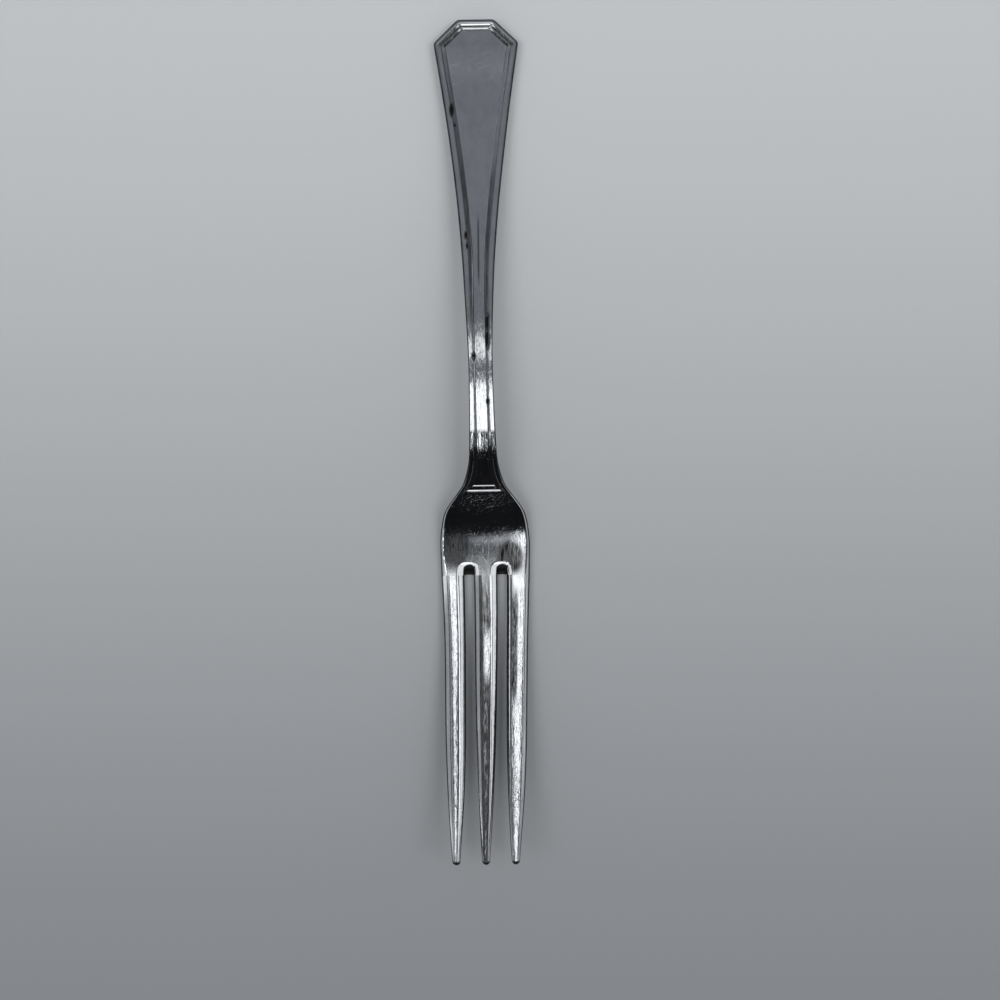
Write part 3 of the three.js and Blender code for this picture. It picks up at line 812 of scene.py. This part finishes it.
# Finish: worn silver plate, satin on the handle and brighter from the neck on. Heights and places in mm.
silverLook = {
    "colour": (0.9, 0.905, 0.915, 1),
    "dull": (0.7, 0.71, 0.73, 1),
    "dullShare": 0.6,
    "tarnishAndShade": (0.006, 0.006, 0.0065, 1),
    "specular": 0.1, "satin": 0.085, "bright": 0.05,
    "satinFrom": (17.0, 38.0),  # from the fork's middle, towards the handle's end
    "satinCalm": 0.7,  # share of the scratches that the satin hides
    "ripple": 0.042,
    "calmShare": 0.08,  # of the ripple, on the root
    "neckShare": 0.75,  # of the ripple, on the neck
    "neckAt": (-7.0, -2.0, 22.0, 32.0),
    "chatter": 0.0035,  # finer ripple on the worn tines
    "tinesFrom": (-20.0, -28.0),
    "scratch": 0.002, "grain": 0.0035,
    "neckGrain": 0.7,  # share of the grain polished off the neck
    "dents": 0.009,  # shallow dents of use on the root
    "hazeAt": (-13.0, -16.5, -21.0, -25.0),
    "pits": 0.7,  # how dark the pits along the tines are
    "streakedFrom": (-14.0, -11.0),  # from here on the dirt and painted shade lie in streaks
    # roughness added by use
    "mottleRough": 0.015, "grainRough": 0.015, "scratchRough": 0.08,
    "speckRough": 0.03, "dirtRough": 0.1, "hazeRough": 0.025,
    "crossTurns": (36, -33, 70),  # degrees, of scratches across the fork
    # each noise: stretch across and along, turn in degrees, detail and roughness
    "clouds": {
        "mottle": (0.5, 0.35, 0, 4, 0.6), "streak": (3.0, 0.22, 0, 3, 0.6), "grain": (5.0, 3.6, 20, 3, 0.65),
        "pits": (6.0, 2.2, 5, 3, 0.6), "pitted": (0.9, 0.16, 0, 2, 0.5), "chatter": (5.0, 1.4, -4, 2, 0.5),
        "scratch": (9.0, 0.14, 3, 1, 0.5), "mottled": (3.2, 0.4, 0, 4, 0.65),
        "streaked": (2.4, 0.08, 0, 3, 0.6), "speck": (4.0, 3.2, 30, 3, 0.7), "dents": (1.5, 1.9, 25, 3, 0.7),
    },
    # values between which each mark begins
    "limits": {
        "pits": (0.56, 0.62), "pitted": (0.4, 0.58), "scratch": (0.66, 0.76), "cross": (0.69, 0.78),
        "mottled": (0.34, 0.6, 0.72, 1.0), "streaked": (0.35, 0.62, 0.8, 1.0), "speck": (0.5, 0.68),
        "dirt": (0.0, 0.9), "thick": (0.93, 1.0), "dull": (0.35, 0.75), "mottle": (0.3, 0.7),
        "grain": (0.45, 0.75), "metal": (1.0, 0.8),
    },
}


def makeSilver():
    look, limits = silverLook, silverLook["limits"]
    silver = bpy.data.materials.new("worn_silver")
    silver.use_nodes = True
    tree = silver.node_tree
    link = tree.links.new
    times, ramp, within, minus, _, most, _, timesPlus, _ = mathSteps(tree)
    shader = tree.nodes["Principled BSDF"].inputs
    shader["Specular IOR Level"].default_value = look["specular"]
    place = addNode(tree, "ShaderNodeTexCoord", {})["Object"]
    inMm = addNode(tree, "ShaderNodeVectorMath", {0: place, "Scale": 1 / mm}, operation="SCALE")[0]
    along = addNode(tree, "ShaderNodeSeparateXYZ", {0: inMm})[1]

    def cloud(name, angle=None):
        across, down, turn, detail, rough = look["clouds"][name]
        angle = math.radians(turn if angle is None else angle)
        turned = addNode(tree, "ShaderNodeMapping", {0: inMm, "Rotation": (0, 0, angle)})[0]
        drawn = addNode(tree, "ShaderNodeMapping", {0: turned, "Scale": (across, down, across)})[0]
        parts = {"Vector": drawn, "Scale": 1.0, "Detail": detail, "Roughness": rough}
        return addNode(tree, "ShaderNodeTexNoise", parts)["Fac"]

    def marked(name):
        return ramp(cloud(name), *limits[name])

    def attribute(name):
        return addNode(tree, "ShaderNodeAttribute", {}, attribute_name=name)["Fac"]

    satin = ramp(along, *look["satinFrom"])
    onTines = ramp(along, *look["tinesFrom"])
    hazy = within(along, *look["hazeAt"])
    onNeck = within(along, *look["neckAt"])
    keen = timesPlus(satin, -look["satinCalm"], 1.0)
    mottle, grain = cloud("mottle"), cloud("grain")
    wear, grimeAndShade = attribute("wear"), attribute("grimeAndShade")
    pits = times(marked("pits"), marked("pitted"), wear, look["pits"])
    scored = marked("scratch")
    for angle in look["crossTurns"]:
        scored = most(scored, ramp(cloud("scratch", angle), *limits["cross"]))
    scored = times(scored, keen)
    patchy = addMix(tree, "FLOAT", ramp(along, *look["streakedFrom"]), marked("mottled"), marked("streaked"))
    dirt = times(ramp(grimeAndShade, *limits["dirt"]), patchy)
    dirt = most(most(dirt, ramp(grimeAndShade, *limits["thick"])), pits)
    dulled = times(ramp(mottle, *limits["dull"]), look["dullShare"])
    tone = addMix(tree, "RGBA", dulled, look["colour"], look["dull"])
    # one dark colour for tarnish and also for painted shade and painted dark reflections
    link(addMix(tree, "RGBA", dirt, tone, look["tarnishAndShade"]), shader["Base Color"])
    link(ramp(dirt, *limits["metal"]), shader["Metallic"])  # thick tarnish and full painted shade are no metal

    rough = timesPlus(satin, look["satin"] - look["bright"], look["bright"])
    speck = times(marked("speck"), keen)
    uses = {"mottle": ramp(mottle, *limits["mottle"]), "grain": ramp(grain, *limits["grain"]),
            "scratch": scored, "speck": speck, "dirt": dirt, "haze": hazy}
    for use, mask in uses.items():
        rough = timesPlus(mask, look[use + "Rough"], rough)
    link(rough, shader["Roughness"])

    calm = times(minus(1.0, onTines), look["calmShare"])
    shine = most(wear, most(calm, times(onNeck, look["neckShare"])))
    height = times(cloud("streak"), look["ripple"], shine, minus(1.0, satin))
    height = timesPlus(times(cloud("chatter"), wear), look["chatter"], height)
    height = timesPlus(scored, -look["scratch"], height)
    grained = times(grain, keen, timesPlus(onNeck, -look["neckGrain"], 1.0))
    height = timesPlus(grained, look["grain"], height)
    height = timesPlus(times(cloud("dents"), hazy), look["dents"], height)
    link(addNode(tree, "ShaderNodeBump", {"Distance": mm, "Height": height})[0], shader["Normal"])
    return silver


silver = makeSilver()
sideTree = tineTree("side_tine", tine["side"])
middleTree = tineTree("middle_tine", tine["middle"])
pieces = {
    "handle": handle,
    "neck": neck,
    "root": rootPiece,
    "tine_left": makeTine("tine_left_visual", sideTree, -1, silver),
    "tine_middle": makeTine("tine_middle_visual", middleTree, 0, silver),
    "tine_right": makeTine("tine_right_visual", sideTree, 1, silver),
}
for node, piece in pieces.items():
    piece.data.materials.clear()
    piece.data.materials.append(silver)
    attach(piece, "root")
    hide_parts(node)
print("pieces dressed:", len(pieces))

# Stage: a pale floor, its colour painted darker towards the points as painted shade
stage = {
    "floorSize": 3.0,
    "floorColour": (0.466, 0.48, 0.486, 1),
    "floorShaded": (0.198, 0.204, 0.215, 1),
    "floorShadeFade": (0.1, -0.12),
    "floorRough": 0.75,
}
half = stage["floorSize"] / 2
mesh = bpy.data.meshes.new("floor")
corners = [(-half, -half, 0), (half, -half, 0), (half, half, 0), (-half, half, 0)]
mesh.from_pydata(corners, [], [(0, 1, 2, 3)])
floor = newObject("floor", mesh)
paint = bpy.data.materials.new("floor_paint")
paint.use_nodes = True
tree = paint.node_tree
shader = tree.nodes["Principled BSDF"].inputs
place = addNode(tree, "ShaderNodeTexCoord", {})["Object"]
along = addNode(tree, "ShaderNodeSeparateXYZ", {0: place})[1]
# painted shade: the floor's colour darkens towards the points
fade = addRamp(tree, along, *stage["floorShadeFade"])
tone = addMix(tree, "RGBA", fade, stage["floorColour"], stage["floorShaded"])
tree.links.new(tone, shader["Base Color"])
shader["Roughness"].default_value = stage["floorRough"]
mesh.materials.append(paint)

# Studio light. Directions are tangents from straight up: across to +X, along to the handle's end
studio = {
    "lowest": 0.02,  # least height of a direction
    "shadeTint": (0.83, 0.895, 1.0, 1), "lightTint": (0.96, 0.98, 1.0, 1),
    "lightFrom": (0.15, 0.5),
    "panel": (-0.52, -0.4, 0.285, 0.33), "panelSide": (0.11, 0.18), "panelLevel": 1.25,
    "gap": (0.192, 0.202, 0.256, 0.27), "gapShare": 0.98,
    "barLevel": 0.75,  # of the bar beyond the gap, as a share of the panel
    "cardEnd": (-0.04, 0.035), "cardSide": (0.162, 0.178), "cardAcross": 0.045,
    "cardLevel": 0.085, "cardDark": (-0.28, -0.16), "cardFade": (-0.01, 0.08), "cardFadeShare": 0.85,
    "rail": (-0.42, -0.26, -0.2, -0.1),  # a paler band across the card
    "railLevel": 0.3,
    "window": (-0.47, -0.36, -0.06, 0.0),  # low on the left
    "windowFrom": (-0.112, -0.137), "windowSide": (0.3, 0.4), "windowLevel": 2.4,
    "front": (-0.5, -0.35), "frontSide": (0.22, 0.45),
    "glowFront": (-1.22, -1.45), "glowLevel": 1.2,
    "walls": (0.85, 1.15), "wallLevel": 0.8, "lowWalls": (3.0, 9.0), "lowWallShare": 0.35,
    "leftShare": 0.27,  # of the right wall's level, towards the back of the left one
    "leftDim": (-0.03, 0.005),
    "roomLevel": 0.117, "backLevel": 0.06, "back": (0.25, 0.45), "darkLevel": 0.006,
    "plainLevel": 0.6,  # what the camera sees past the floor
}
# a white ceiling panel, a dark card in front of it, pale walls at the sides
world = bpy.data.worlds.new("studio")
bpy.context.scene.world = world
world.use_nodes = True
tree = world.node_tree
tree.nodes.clear()
both, addStep, within, minus, over, most, _, add, size = mathSteps(tree)
look = addNode(tree, "ShaderNodeTexCoord", {})["Generated"]
toRight, toEnd, upward = addNode(tree, "ShaderNodeSeparateXYZ", {0: look})
up = most(upward, studio["lowest"])
across, along = over(toRight, up), over(toEnd, up)
wide = size(across)
aside = size(minus(across, studio["cardAcross"]))


def ramp(value, name):
    return addStep(value, *studio[name])


def without(mask, share=1.0):
    return minus(1.0, both(mask, share))


def strip(name):
    return within(along, *studio[name])


beyond = addStep(along, *studio["gap"][1:3])
panel = both(strip("panel"), without(ramp(wide, "panelSide")), without(strip("gap"), studio["gapShare"]),
             without(beyond, 1 - studio["barLevel"]))
glow = ramp(along, "glowFront")
front = both(without(ramp(along, "front")), without(glow), without(ramp(wide, "frontSide")))
card = both(without(ramp(along, "cardEnd")), without(ramp(aside, "cardSide")), without(glow))
dim = both(addMath(tree, "LESS_THAN", across, 0.0), ramp(toEnd, "leftDim"))
atSides = ramp(wide, "walls")
walls = both(atSides, without(dim, 1 - studio["leftShare"]),
             without(ramp(wide, "lowWalls"), studio["lowWallShare"]))
level = add(walls, studio["wallLevel"] - studio["roomLevel"], studio["roomLevel"])
level = add(ramp(along, "back"), studio["backLevel"], level)
shade = add(panel, studio["panelLevel"], both(level, without(front)))
shade = both(shade, without(card))
card = both(card, without(ramp(across, "cardFade"), studio["cardFadeShare"]))
shade = add(both(card, ramp(along, "cardDark")), studio["cardLevel"], shade)
shade = add(both(card, strip("rail")), studio["railLevel"], shade)
window = both(strip("window"), ramp(across, "windowFrom"), without(ramp(wide, "windowSide")))
shade = add(window, studio["windowLevel"], shade)
shade = add(both(glow, without(atSides)), studio["glowLevel"], shade)
shade = addMath(tree, "ADD", shade, studio["darkLevel"])
seen = addNode(tree, "ShaderNodeLightPath", {})["Is Camera Ray"]
shade = add(seen, studio["plainLevel"], both(shade, without(seen)))
tint = addMix(tree, "RGBA", ramp(shade, "lightFrom"), studio["shadeTint"], studio["lightTint"])
sky = addNode(tree, "ShaderNodeBackground", {"Color": tint, "Strength": shade})[0]
addNode(tree, "ShaderNodeOutputWorld", {0: sky})

# Lamps: one to each side for the soft double shadow, one past the handle's end
lamps = {  # place, size and power
    "lamp_right": ((0.35, -0.05, 0.6), 0.35, 2.05),
    "lamp_left": ((-0.35, -0.05, 0.6), 0.35, 1.85),
    "lamp_end": ((0.0, 0.45, 0.36), 0.4, 0.5),
}
for name, (place, size, power) in lamps.items():
    data = bpy.data.lights.new(name, "AREA")
    data.size = size
    data.energy = power
    light = newObject(name, data)
    light.visible_glossy = False
    light.location = place
    light.rotation_euler = (-Vector(place)).to_track_quat("-Z", "Y").to_euler()

# Camera: straight above, turned so that the handle leans a little to the left
cameraPlace = {
    "height": 262.0, "across": 2.98, "along": -11.25, "turn": -0.97,
    "lens": 52.26, "sensor": 36, "nearest": 10.0,
}
data = bpy.data.cameras.new("camera")
data.sensor_width = cameraPlace["sensor"]
data.lens = cameraPlace["lens"]
data.clip_start = cameraPlace["nearest"] * mm
camera = newObject("camera", data)
camera.location = Vector((cameraPlace["across"], cameraPlace["along"], cameraPlace["height"])) * mm
camera.rotation_euler = (0, 0, math.radians(cameraPlace["turn"]))
bpy.context.scene.camera = camera
bpy.context.scene.view_settings.view_transform = "Standard"
print("stage, light and camera set")
